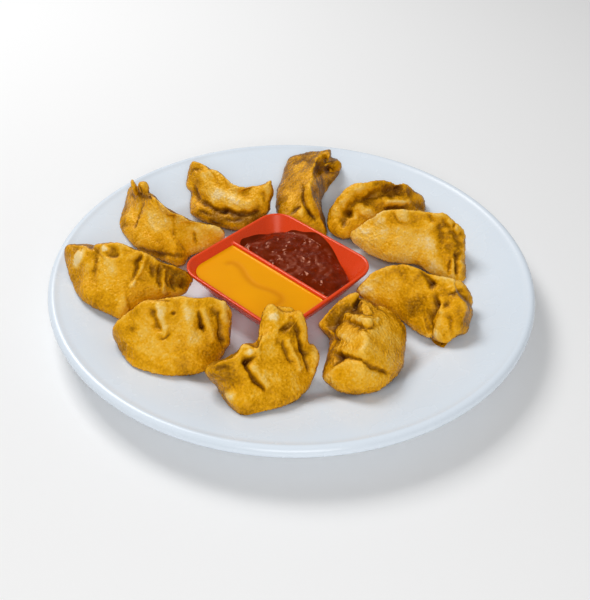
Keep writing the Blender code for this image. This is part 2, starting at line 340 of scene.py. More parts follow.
# The outside stands on a rounded foot, and is upright for the last millimetre of its rim.
bm = bmesh.new()
rings = []
for height, inward in ((0, 0.8), (0.5, 0.15), (2, 0), (DISH_HEIGHT - RIM_EASE, 0), (DISH_HEIGHT, 0)):
    half = dish_half(min(height, DISH_HEIGHT - RIM_EASE)) - inward
    rings.append(square_ring(bm, half, dish_corner(height), height))
skin_rings(bm, rings)
dish = finish_mesh("two_part_dish", bm, glossy_red_melamine())
# The inside is cut out, with a rounded edge to its floor.
bm = bmesh.new()
rings = []
for rise, inward in ((0, 1.2), (0.5, 0.3), (FLOOR_EASE, 0), (DISH_HEIGHT - DISH_FLOOR + 1, 0)):
    height = DISH_FLOOR + rise
    half = dish_half(height) - DISH_WALL - inward
    rings.append(square_ring(bm, half, dish_corner(height) - DISH_WALL, height))
skin_rings(bm, rings)
combine(dish, bm, "DIFFERENCE")
# The divider is a wall with a round top, whose ends run into the dish's walls.
half_width = DIVIDER_WIDTH / 2
round_middle = DISH_HEIGHT - DIVIDER_DROP - half_width
divider_rings = [(half_width, DISH_FLOOR - 1)]
for step in range(8):
    angle = math.radians(90 * step / 8)
    divider_rings.append((half_width * math.cos(angle), round_middle + half_width * math.sin(angle)))
bm = bmesh.new()
rings = []
for wide, height in divider_rings:
    far = dish_half(height) - DISH_WALL / 2
    corners = ((far, wide), (-far, wide), (-far, -wide), (far, -wide))
    rings.append([bm.verts.new((x, y, height)) for x, y in corners])
skin_rings(bm, rings)
combine(dish, bm, "UNION")
soften = dish.modifiers.new("rounded_edges", "BEVEL")
soften.width = EDGE_RADIUS
soften.segments = 4
soften.limit_method = "ANGLE"
soften.angle_limit = math.radians(38)
soften.use_clamp_overlap = True
apply_modifiers(dish)
dish.data.transform(dish_place)
dish.data.shade_smooth()
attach(dish, "root")
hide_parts("dip_dish")


# --- The orange dip ---------------------------------------------------------------------------
# A smooth, runny orange sauce poured into the front half of the dish. It lies level, creeps a
# little up the walls, and keeps the faint trail of the spoon.

ORANGE_LEVEL = 14.4
WALL_GAP = 0.15
BED_GAP = 0.2
DIVIDER_CORNER = 0.5
TRAIL_WIDTH = 2.1
TRAIL_DEPTH = 0.25
SPOON_TRAIL = (
    (-27, -19), (-25, -13), (-18, -13), (-8, -17), (0, -18), (11, -15), (18, -16), (20, -21), (16, -26),
)
half_middle = (dish_half(ORANGE_LEVEL) - DISH_WALL + DIVIDER_WIDTH / 2) / 2


def half_reach(direction, height, middle, side):
    """Distance from a middle in the front (-1) or back (+1) half of the dish to its wall."""
    far = dish_half(height) - DISH_WALL - WALL_GAP
    if direction.y * side > 0:
        end = far - middle
        corner = dish_corner(height) - DISH_WALL
    else:
        end = middle - DIVIDER_WIDTH / 2 - WALL_GAP
        corner = DIVIDER_CORNER
    way = Vector((abs(direction.x), abs(direction.y)))
    reach = min(far / max(1e-6, way.x), end / max(1e-6, way.y))
    pivot = Vector((far - corner, end - corner))
    if way.x * reach > pivot.x and way.y * reach > pivot.y:
        along = way.dot(pivot)
        reach = along + math.sqrt(max(0, along * along - pivot.length_squared + corner * corner))
    return reach


def pour(name, mat, middle, reach_at, top_at, brim, steps=(200, 120)):
    """A sphere reshaped into poured sauce: its upper half is the open face, the rest is below."""
    bm = bmesh.new()
    bmesh.ops.create_uvsphere(bm, u_segments=steps[0], v_segments=steps[1], radius=1)
    bed = DISH_FLOOR + BED_GAP
    wall_share = 1 / 3
    for vert in bm.verts:
        # The fall is 0 at the top of the sphere, 1 at its girth and 2 at its bottom.
        fall = math.acos(max(-1, min(1, vert.co.z))) / (math.pi / 2)
        flat = Vector((vert.co.x, vert.co.y))
        direction = flat.normalized() if flat.length > 1e-6 else Vector((1, 0))
        reach = reach_at(direction, brim)
        if fall <= 1:
            spot = middle + direction * reach * fall
            height = top_at(spot, reach * (1 - fall))
        else:
            rim = top_at(middle + direction * reach, 0)
            height = rim + (bed - rim) * min(1, (fall - 1) / wall_share)
            inward = 1 - max(0, fall - 1 - wall_share) / (1 - wall_share)
            spot = middle + direction * reach_at(direction, height) * inward
        vert.co = (spot.x, spot.y, height)
    piece = finish_mesh(name, bm, mat, sharp=80)
    piece.data.transform(dish_place)
    return piece


def smooth_orange_sauce():
    """Thin orange sauce: opaque and even, wet on top, with painted shade along the spoon's trail."""
    mat, shader = new_material("smooth_orange_sauce", {
        "Roughness": 0.24, "IOR": 1.4, "Specular Tint": paint("#ffa23c"),
    })
    trail = add_node(mat, "ShaderNodeAttribute", attribute_name="spoon_trail").outputs["Fac"]
    base = blend(mat, cloud(mat, size=15, detail=2), "#f09c00", "#f7a800")
    # Painted shade: darker along the groove the spoon left.
    mat.node_tree.links.new(blend(mat, trail, base, "#d98400"), shader.inputs["Base Color"])
    return mat


def orange_reach(direction, height):
    """Distance from the middle of the front half to its wall."""
    return half_reach(direction, height, half_middle, -1)


def orange_top(spot, inside):
    """Level sauce with a small meniscus at the wall, the same all round."""
    return ORANGE_LEVEL + 0.5 * math.exp(-inside / 0.8)


def smooth_line(points, closed=False, per_span=8):
    """A Catmull-Rom curve through the points, as an array of close-set points."""
    points = np.array(points, float)
    if closed:
        chain = np.vstack([points[-1:], points, points[:2]])
    else:
        chain = np.vstack([2 * points[0] - points[1], points, 2 * points[-1] - points[-2]])
    t = (np.arange(per_span) / per_span)[:, None]
    spans = []
    for a, b, c, d in zip(chain, chain[1:], chain[2:], chain[3:]):
        bend = (2 * a - 5 * b + 4 * c - d) * t ** 2
        twist = (3 * b - 3 * c + d - a) * t ** 3
        spans.append(0.5 * (2 * b + (c - a) * t + bend + twist))
    if not closed:
        spans.append(points[-1:])
    return np.vstack(spans)


def line_distance(spots, line):
    """Each spot's distance from a line, its offset to the left, its place along it, and the length."""
    steps = np.linalg.norm(np.diff(line, axis=0), axis=1)
    travelled = np.concatenate([[0], np.cumsum(steps)])
    tangent = np.gradient(line, axis=0)
    tangent /= np.linalg.norm(tangent, axis=1)[:, None] + 1e-9
    nearest = np.linalg.norm(spots[:, None] - line[None], axis=2).argmin(1)
    offset = spots - line[nearest]
    along = (offset * tangent[nearest]).sum(1)
    across = tangent[nearest][:, 0] * offset[:, 1] - tangent[nearest][:, 1] * offset[:, 0]
    beyond = np.maximum(0, np.abs(along) - steps.mean() / 2)
    return np.hypot(beyond, across), across, travelled[nearest], travelled[-1]


def vertex_values(mesh, field):
    """A mesh's vertex coordinates or normals as an array."""
    values = np.zeros(len(mesh.vertices) * 3, np.float32)
    mesh.vertices.foreach_get(field, values)
    return values.reshape(-1, 3).astype(float)


def reshape(mesh, places):
    """Writes an array of places back to the mesh."""
    mesh.vertices.foreach_set("co", places.astype(np.float32).ravel())
    mesh.update()


def mark_trail(mesh):
    """Presses the spoon's trail into the sauce and records it for the material, which paints shade along
    it.
    """
    places = vertex_values(mesh, "co")
    path = [(dish_place @ Vector((x, y, ORANGE_LEVEL)))[:2] for x, y in smooth_line(SPOON_TRAIL)]
    distance, _, along, whole = line_distance(places[:, :2] / MM, np.array(path) / MM)
    mark = np.exp(-(distance / TRAIL_WIDTH) ** 2) * ease(0, 5, along) * (1 - ease(whole - 6, whole, along))
    on_top = places[:, 2] > places[:, 2].max() - 0.8 * MM
    places[on_top, 2] -= TRAIL_DEPTH * MM * mark[on_top]
    reshape(mesh, places)
    mesh.attributes.new("spoon_trail", "FLOAT", "POINT").data.foreach_set("value", mark * 0.6)


orange_middle = Vector((0, -half_middle))
orange = pour(
    "orange_sauce", smooth_orange_sauce(), orange_middle, orange_reach, orange_top, brim=ORANGE_LEVEL,
)
mark_trail(orange.data)
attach(orange, "root")
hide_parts("orange_dip")


# --- The chilli dip ---------------------------------------------------------------------------
# A thick dark chilli paste spooned into the back half. It is lumpy with crushed chilli, clings
# to the back wall and leaves the right-hand corner bare.

CHILLI_LEVEL = 11.6
CHILLI_HEAP = 3.4
CHILLI_FILM = 0.4
CHILLI_BRIM = DISH_HEIGHT - 0.6
WALL_FOOT = DISH_FLOOR + FLOOR_EASE
CHILLI_MIDDLE = Vector((0, 19))
CHILLI_EDGE = (
    (34, 3), (36, 10), (36, 19), (31.5, 26), (24, 31.5), (14, 35.5), (5, 38), (-5, 39), (-14, 37.3),
    (-25, 35), (-33, 27), (-36.2, 12), (-34.6, 3), (-16, 1.6), (0, 1.6), (16, 1.6),
)
chilli_line = smooth_line(CHILLI_EDGE, closed=True) - np.array(CHILLI_MIDDLE)
chilli_line = chilli_line[np.argsort(np.arctan2(chilli_line[:, 1], chilli_line[:, 0]))]
chilli_angles = np.arctan2(chilli_line[:, 1], chilli_line[:, 0])
chilli_radii = np.hypot(*chilli_line.T)


def chilli_reach(direction, height):
    """Distance from the middle of the heap to its edge, or to the dish's wall if that is nearer."""
    angle = math.atan2(direction.y, direction.x)
    edge = float(np.interp(angle, chilli_angles, chilli_radii, period=math.tau))
    return min(edge, half_reach(direction, height, CHILLI_MIDDLE.y, 1))


def wall_height(spot):
    """Height at which the dish's inner wall passes a spot in the back half."""
    away = spot - CHILLI_MIDDLE
    way = away.normalized()
    if away.length < 1 or away.length < half_reach(way, WALL_FOOT, CHILLI_MIDDLE.y, 1):
        return 0
    low, high = WALL_FOOT, DISH_HEIGHT
    for _ in range(9):
        height = (low + high) / 2
        if half_reach(way, height, CHILLI_MIDDLE.y, 1) < away.length:
            low = height
        else:
            high = height
    return high


def chilli_top(spot, inside):
    """A lumpy heap, thin at its edge, that climbs the back wall left of the middle."""
    lumps = 1.5 * noise.noise(Vector((spot.x, spot.y, 3)) / 7)
    lumps += 0.7 * noise.noise(Vector((spot.x, spot.y, 9)) / 2.9)
    lumps += 0.1 * noise.noise(Vector((spot.x, spot.y, 5)) / 1.4)
    heap = CHILLI_HEAP * ease(0, 14, inside)
    cling = 3.6 * math.exp(-((spot.x + 5) / 16) ** 2) * ease(27, 38, spot.y)
    height = CHILLI_LEVEL + heap + cling + lumps * ease(-0.5, 6, inside) - 1.6 * math.exp(-inside / 0.9)
    clinging = wall_height(spot) + CHILLI_FILM + (1.2 + 0.5 * lumps) * ease(0, 3, inside)
    share = ease(-3, 3, clinging - height)
    return height + (clinging - height) * share + 0.75 * share * (1 - share)


def cells(mat, size):
    """Distance from the middle of the nearest cell, for cells so many mm across."""
    place = add_node(mat, "ShaderNodeTexCoord").outputs["Object"]
    inputs = {"Vector": place, "Scale": 1 / (size * MM)}
    return add_node(mat, "ShaderNodeTexVoronoi", inputs).outputs["Distance"]


def roughen(mat, shader, relief, strength, depth):
    """Gives a finish a fine relief, its depth in mm."""
    inputs = {"Height": relief, "Strength": strength, "Distance": depth * MM}
    bump = add_node(mat, "ShaderNodeBump", inputs)
    mat.node_tree.links.new(bump.outputs["Normal"], shader.inputs["Normal"])


def thick_chilli_paste():
    """Chilli paste: very dark red-brown and wet, with redder crushed skins near the surface."""
    mat, shader = new_material("thick_chilli_paste", {
        "Roughness": 0.18, "IOR": 1.42, "Specular Tint": paint("#ffa878"),
    })
    clots = cloud(mat, size=6, detail=4)
    skins = spread(mat, cells(mat, size=2.4), 0.1, 0.3, 0.55, 0)
    tone = blend(mat, skins, blend(mat, clots, "#5c1600", "#7c2200"), "#962600")
    mat.node_tree.links.new(tone, shader.inputs["Base Color"])
    # Wet in some clots and duller in others.
    mat.node_tree.links.new(spread(mat, clots, 0.44, 0.56, 0.12, 0.5), shader.inputs["Roughness"])
    roughen(mat, shader, cloud(mat, size=1.2, detail=3), strength=0.3, depth=0.15)
    return mat


chilli = pour(
    "chilli_paste", thick_chilli_paste(), CHILLI_MIDDLE, chilli_reach, chilli_top, brim=CHILLI_BRIM,
    steps=(260, 150),
)
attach(chilli, "root")
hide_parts("chilli_dip")


# --- The dumplings ----------------------------------------------------------------------------
# Ten momos: thin wheat wrappers folded by hand over a filling, sealed, and fried until they
# blister and brown. Each has its own folds. They are set down round the dish, and none is fixed.

VOXEL = 0.55
SETTLE_ROUNDS = 14
OUTLINE_SLICES = 180
MIDDLE_RISE = 12
PLATE_GAP = 0.15
DISH_GAP = 0.3
DEEPEST_PUSH = 14
# The noise that moves the folds sideways starts from the clock unless it is given a seed.
STRAY_SEED = 7
noise.seed_set(STRAY_SEED)


def fried_dough():
    """Fried dough: matt golden crust, paler on blisters and darker in folds, with a film of oil. Its
    colour follows a level per point that mixes real frying with painted shade and painted highlight.
    """
    mat, shader = new_material("fried_dough", {
        "Roughness": 0.42, "IOR": 1.45, "Specular IOR Level": 0.55, "Specular Tint": paint("#ffc860"),
        "Coat Weight": 0.04, "Coat Roughness": 0.28, "Coat Tint": paint("#ffe0a0"),
    })
    # The level holds real frying together with painted shade in creases, dents, hollows, under the
    # dumpling and at its outline, and painted highlight on ridges and raised parts.
    level = add_node(mat, "ShaderNodeAttribute", attribute_name="browning_and_painted_light").outputs["Fac"]
    # The level of each spot swings up and down at random in broad clouds and in small ones.
    broad = cloud(mat, size=7, detail=2)
    small = cloud(mat, size=1.1, detail=3)
    for clouds, amount in ((broad, 0.45), (small, 0.18)):
        swing = add_node(mat, "ShaderNodeMath", {0: clouds, 1: -0.5}, operation="ADD").outputs[0]
        inputs = {0: swing, 1: amount, 2: level}
        level = add_node(mat, "ShaderNodeMath", inputs, operation="MULTIPLY_ADD").outputs[0]
    ramp = add_node(mat, "ShaderNodeValToRGB", {"Fac": level})
    stops = (
        (0.0, "#fadd9c"), (0.08, "#f9ce6e"), (0.18, "#f7c146"), (0.32, "#f0ac10"), (0.46, "#d29100"),
        (0.61, "#9f6a00"), (0.79, "#6e4000"), (1.0, "#3c1601"),
    )
    ramp.color_ramp.elements[0].color = paint(stops[0][1])
    ramp.color_ramp.elements[1].color = paint(stops[-1][1])
    for spot, colour in stops[1:-1]:
        ramp.color_ramp.elements.new(spot).color = paint(colour)
    mat.node_tree.links.new(ramp.outputs["Color"], shader.inputs["Base Color"])
    mat.node_tree.links.new(spread(mat, broad, 0.3, 0.7, 0.24, 0.44), shader.inputs["Roughness"])
    pores = {0: cloud(mat, size=0.9, detail=4), 1: cells(mat, size=1.6)}
    relief = add_node(mat, "ShaderNodeMath", pores, operation="ADD").outputs[0]
    roughen(mat, shader, relief, strength=1, depth=0.34)
    return mat


fried = fried_dough()

# Every form is sculpted in the plane square to the diner's line of sight, through the dumpling's
# middle: u runs to the right, v up and n towards the diner, all in mm.


def sight_frame(middle):
    """Axes of a dumpling's own sculpting plane, and the distance of the diner's eye, in mm."""
    towards = EYE / MM - middle
    distance = towards.length
    towards.normalize()
    across = Vector((0, 0, 1)).cross(towards).normalized()
    return across, towards.cross(across), towards, distance


def base_form(name, middle, lobes, rounds):
    """The dumpling's plain solid joined with its lobes, remade as an even skin of small faces."""
    across, up, towards, _ = sight_frame(middle)
    bm = bmesh.new()
    bm.from_mesh(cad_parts[name].data)
    bmesh.ops.remove_doubles(bm, verts=bm.verts, dist=0.01 * MM)
    bmesh.ops.join_triangles(
        bm, faces=bm.faces, angle_face_threshold=math.radians(40), angle_shape_threshold=math.radians(50),
    )
    bmesh.ops.scale(bm, verts=bm.verts, vec=(1 / MM,) * 3)
    axes = Matrix((across, up, towards)).transposed().to_4x4()
    for u, v, n, long, wide, thick, turn in lobes:
        place = Matrix.Translation(middle) @ axes @ Matrix.Translation((u, v, n))
        place = place @ Matrix.Rotation(math.radians(turn), 4, "Z")
        place = place @ Matrix.Diagonal((long, wide, thick, 1))
        bmesh.ops.create_icosphere(bm, subdivisions=2, radius=1, matrix=place)
    form = finish_mesh(name + "_form", bm, fried)
    form.modifiers.new("round", "SUBSURF").levels = 2
    form.modifiers["round"].render_levels = 2
    skin = form.modifiers.new("skin", "REMESH")
    skin.mode = "VOXEL"
    skin.voxel_size = VOXEL
    settle = form.modifiers.new("settle", "SMOOTH")
    settle.factor = 0.5
    settle.iterations = rounds
    apply_modifiers(form)
    return form


def slice_of(spots):
    """The slice round the middle that each spot lies in, with its place across the slice."""
    return np.arctan2(spots[:, 1], spots[:, 0]) / math.tau % 1 * OUTLINE_SLICES


def reach_by_slice(spots):
    """How far the spots reach in each slice round the middle."""
    reach = np.zeros(OUTLINE_SLICES)
    np.maximum.at(reach, slice_of(spots).astype(int) % OUTLINE_SLICES, np.hypot(*spots.T))
    known = np.flatnonzero(reach > 0)
    return np.interp(np.arange(OUTLINE_SLICES), known, reach[known], period=OUTLINE_SLICES)


def as_seen(places, sight):
    """Where the diner sees each place on the sculpting plane, and how much nearness enlarges it."""
    across, up, towards, distance = (np.array(part) for part in sight)
    near = distance / (distance - places @ towards)
    return np.stack([places @ across * near, places @ up * near], 1), near


def fit_outline(places, sight, outline):
    """Stretches the form across the line of sight until its edge follows the outline."""
    across, up, towards = (np.array(axis) for axis in sight[:3])
    spots, near = as_seen(places, sight)
    have = reach_by_slice(spots)
    want = reach_by_slice(smooth_line(outline, closed=True, per_span=24))
    factor = np.clip(want / have, 0.75, 1.3)
    for _ in range(3):
        factor = (np.roll(factor, 1) + 2 * factor + np.roll(factor, -1)) / 4
    turn = slice_of(spots) - 0.5
    slices = np.arange(OUTLINE_SLICES)
    share = np.hypot(*spots.T) / np.interp(turn, slices, have, period=OUTLINE_SLICES)
    stretch = np.interp(turn, slices, factor, period=OUTLINE_SLICES) - 1
    stretch *= ease(0.1, 0.9, share)
    shift = spots * (stretch / near)[:, None]
    # What moves down the plane also moves forward, so that it keeps its height over the plate.
    forward = np.maximum(0, -shift[:, 1]) * up[2] / towards[2]
    return places + shift[:, :1] * across + shift[:, 1:] * up + forward[:, None] * towards


def settle_on_plate(places, middle, towards):
    """Slides what would sink into the plate along the line of sight until it lies on it."""
    for _ in range(3):
        world = places + middle
        sunk = plate_top(np.hypot(world[:, 0], world[:, 1])) + PLATE_GAP - world[:, 2]
        sunk = np.maximum(0, sunk)
        places = places + np.outer(np.minimum(sunk / towards[2], DEEPEST_PUSH), towards)
    return places


def keep_off_dish(places, middle):
    """Moves what would enter the dish out through its wall, or up over its rim."""
    turn = np.array(Matrix.Rotation(DISH_TURN, 3, "Z"))
    local = (places + middle - np.array(DISH_MIDDLE)) @ turn
    height = np.clip(local[:, 2], 0, DISH_HEIGHT)
    half = dish_half(height) + DISH_GAP
    corner = dish_corner(height)
    side = np.abs(local[:, :2]) - (half - corner)[:, None]
    beyond = np.maximum(side, 0)
    reach = np.hypot(*beyond.T)
    depth = np.where(reach > 0, corner - reach, corner - side.max(1))
    over = DISH_HEIGHT + DISH_GAP - local[:, 2]
    inside = (depth > 0) & (over > 0)
    way = np.where(reach[:, None] > 0, beyond / (reach[:, None] + 1e-9), side >= side.max(1)[:, None])
    way = way * np.sign(local[:, :2])
    lift = inside & (over < depth)
    push = inside & ~lift
    local[lift, 2] += over[lift]
    local[push, :2] += (way * depth[:, None])[push]
    return local @ turn.T + np.array(DISH_MIDDLE) - middle


def press_marks(spots, marks):
    """The relief and the colour level that one side's folds, ridges, dents and the rest give it. The level
    mixes real frying with painted shade in creases and dents and painted highlight on ridges.
    """
    height = np.zeros(len(spots))
    brown_and_painted_light = np.zeros(len(spots))
    for points, depth, width, lip, dark in marks.get("folds", ()):
        distance, across, along, whole = line_distance(spots, smooth_line(points))
        end = min(5, whole / 2.5)
        taper = ease(-1, end, along) * (1 - ease(whole - end, whole + 1, along))
        core = np.exp(-(distance / width) ** 2)
        shoulder = np.exp(-(distance / (2.4 * width)) ** 2)
        height -= depth * (0.6 * core + 0.4 * shoulder) * taper
        upper = 0.5 + 0.5 * np.tanh(across / width)
        height += lip * upper * np.exp(-distance / 3.2) * taper
        # Darker along the crease: partly real frying, partly painted shade.
        brown_and_painted_light += dark * (0.5 * core + 0.3 * shoulder) * taper
    for points, rise, width in marks.get("ridges", ()):
        distance = line_distance(spots, smooth_line(points))[0]
        swell = np.exp(-(distance / width) ** 2)
        height += rise * swell
        # Paler along the ridge: a painted highlight.
        brown_and_painted_light -= 0.06 * swell
    for u, v, radius, depth, dark in marks.get("dents", ()):
        near = np.exp(-((spots - (u, v)) ** 2).sum(1) / radius ** 2)
        height -= depth * near
        # Darker in the dent: partly real frying, partly painted shade.
        brown_and_painted_light += dark * near
    for u, v, long, wide, turn, rise, pale in marks.get("blisters", ()):
        angle = math.radians(turn)
        offset = spots - (u, v)
        along = (offset @ (math.cos(angle), math.sin(angle))) / long
        beside = (offset @ (-math.sin(angle), math.cos(angle))) / wide
        inside = 1 - ease(0.25, 1.25, np.hypot(along, beside))
        height += rise * inside
        brown_and_painted_light -= pale * inside
    for u, v, radius, dark in marks.get("patches", ()):
        # A patch is partly real frying and partly painted light: painted shade on sides turned from the
        # light and, below zero, painted highlight on lit ones.
        brown_and_painted_light += 1.4 * dark * np.exp(-((spots - (u, v)) ** 2).sum(1) / radius ** 2)
    return height, brown_and_painted_light


def crust(places, number):
    """The fried crust's own unevenness in mm, and how far each mark on it strays sideways."""
    height = np.zeros(len(places))
    stray = np.zeros((len(places), 2))
    for i, place in enumerate(places):
        # Each dumpling takes its own part of the noise.
        spot = Vector(place) + Vector((50 * number, 0, 0))
        waves = 0.6 * noise.noise(spot / 7)
        lumps = 0.15 * noise.noise(spot / 2.2)
        bubbles = 0.5 * max(0, noise.noise(spot / 1.5 + Vector((7, 3, 1))) - 0.15)
        grains = 0.24 * noise.noise(spot / 0.95)
        height[i] = waves + lumps + bubbles + grains
        stray[i] = noise.noise_vector(spot / 3.5)[:2]
    return height, 0.9 * stray


def raised_by(mesh, places, normals, rounds):
    """How far each point stands out of its surroundings, in mm."""
    ends = np.zeros(len(mesh.edges) * 2, np.int32)
    mesh.edges.foreach_get("vertices", ends)
    first, second = ends.reshape(-1, 2).T
    count = np.bincount(ends, minlength=len(places))[:, None]
    smoothed = places.copy()
    for _ in range(rounds):
        total = np.zeros_like(smoothed)
        for axis in range(3):
            total[:, axis] = np.bincount(first, smoothed[second, axis], len(places))
            total[:, axis] += np.bincount(second, smoothed[first, axis], len(places))
        smoothed = 0.5 * smoothed + 0.5 * total / count
    return ((places - smoothed) * normals).sum(1)


def make_dumpling(number, momo, behind):
    """One dumpling: plain form, outline, pressed marks on both sides, crust, and a colour level of real
    frying with painted shade and painted highlight.
    """
    name = f"momo_{number:02d}"
    x, y = momo["place"]
    middle = Vector((x, y, float(plate_top(math.hypot(x, y))) + MIDDLE_RISE))
    sight = sight_frame(middle)
    form = base_form(name, middle, momo.get("lobes", ()), momo.get("smoothing", SETTLE_ROUNDS))
    mesh = form.data
    middle = np.array(middle)
    towards = np.array(sight[2])
    places = fit_outline(vertex_values(mesh, "co") - middle, sight, momo["outline"])
    places = settle_on_plate(keep_off_dish(places, middle), middle, towards)
    reshape(mesh, places)

    normals = vertex_values(mesh, "normal")
    facing = normals @ towards
    height, stray = crust(places, number)
    spots = as_seen(places, sight)[0] + stray
    brown_and_painted_light = np.zeros(len(places))
    for marks, weight, mirror in (
        (momo, ease(0, 0.35, facing), 1), (behind, ease(0.1, 0.5, -facing), -1),
    ):
        side_height, side_brown_and_painted_light = press_marks(spots * (mirror, 1), marks)
        height += side_height * weight
        brown_and_painted_light += side_brown_and_painted_light * weight
    places = places + normals * height[:, None]
    places = settle_on_plate(keep_off_dish(places, middle), middle, towards)
    reshape(mesh, places)

    # Darker in hollows, near the plate and where the surface turns edge-on to the diner, paler where it
    # stands out: partly real frying of folds and seams, partly painted shade and painted highlight.
    normals = vertex_values(mesh, "normal")
    fine = raised_by(mesh, places, normals, 12)
    broad = raised_by(mesh, places, normals, 40)
    world = places + middle
    # Painted shade: darker over the lowest 10 mm, next to the plate.
    low = 1 - ease(0, 10, world[:, 2] - plate_top(np.hypot(world[:, 0], world[:, 1])))
    # Darker where the surface turns edge-on to the diner: partly fried seams, partly painted shade at the
    # outline.
    edge = ease(0.44, 0.92, 1 - np.abs(normals @ towards))
    browning_and_painted_light = momo["fried"] + brown_and_painted_light + 0.17 * low + 0.4 * edge
    # Darker in hollows and paler on what stands out: partly real frying, partly painted shade and painted
    # highlight.
    browning_and_painted_light += np.clip(-0.24 * fine, -0.07, 0.2) + np.clip(-0.23 * broad, -0.1, 0.28)
    browning_and_painted_light = np.where(browning_and_painted_light > 0.6, 0.6 + 0.5 * (browning_and_painted_light - 0.6), browning_and_painted_light)
    mesh.attributes.new("browning_and_painted_light", "FLOAT", "POINT").data.foreach_set("value", browning_and_painted_light)
    reshape(mesh, world * MM)
    mesh.shade_smooth()
    form.name = f"momo_crust_{number:02d}"
    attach(form, "root")
    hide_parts(name)
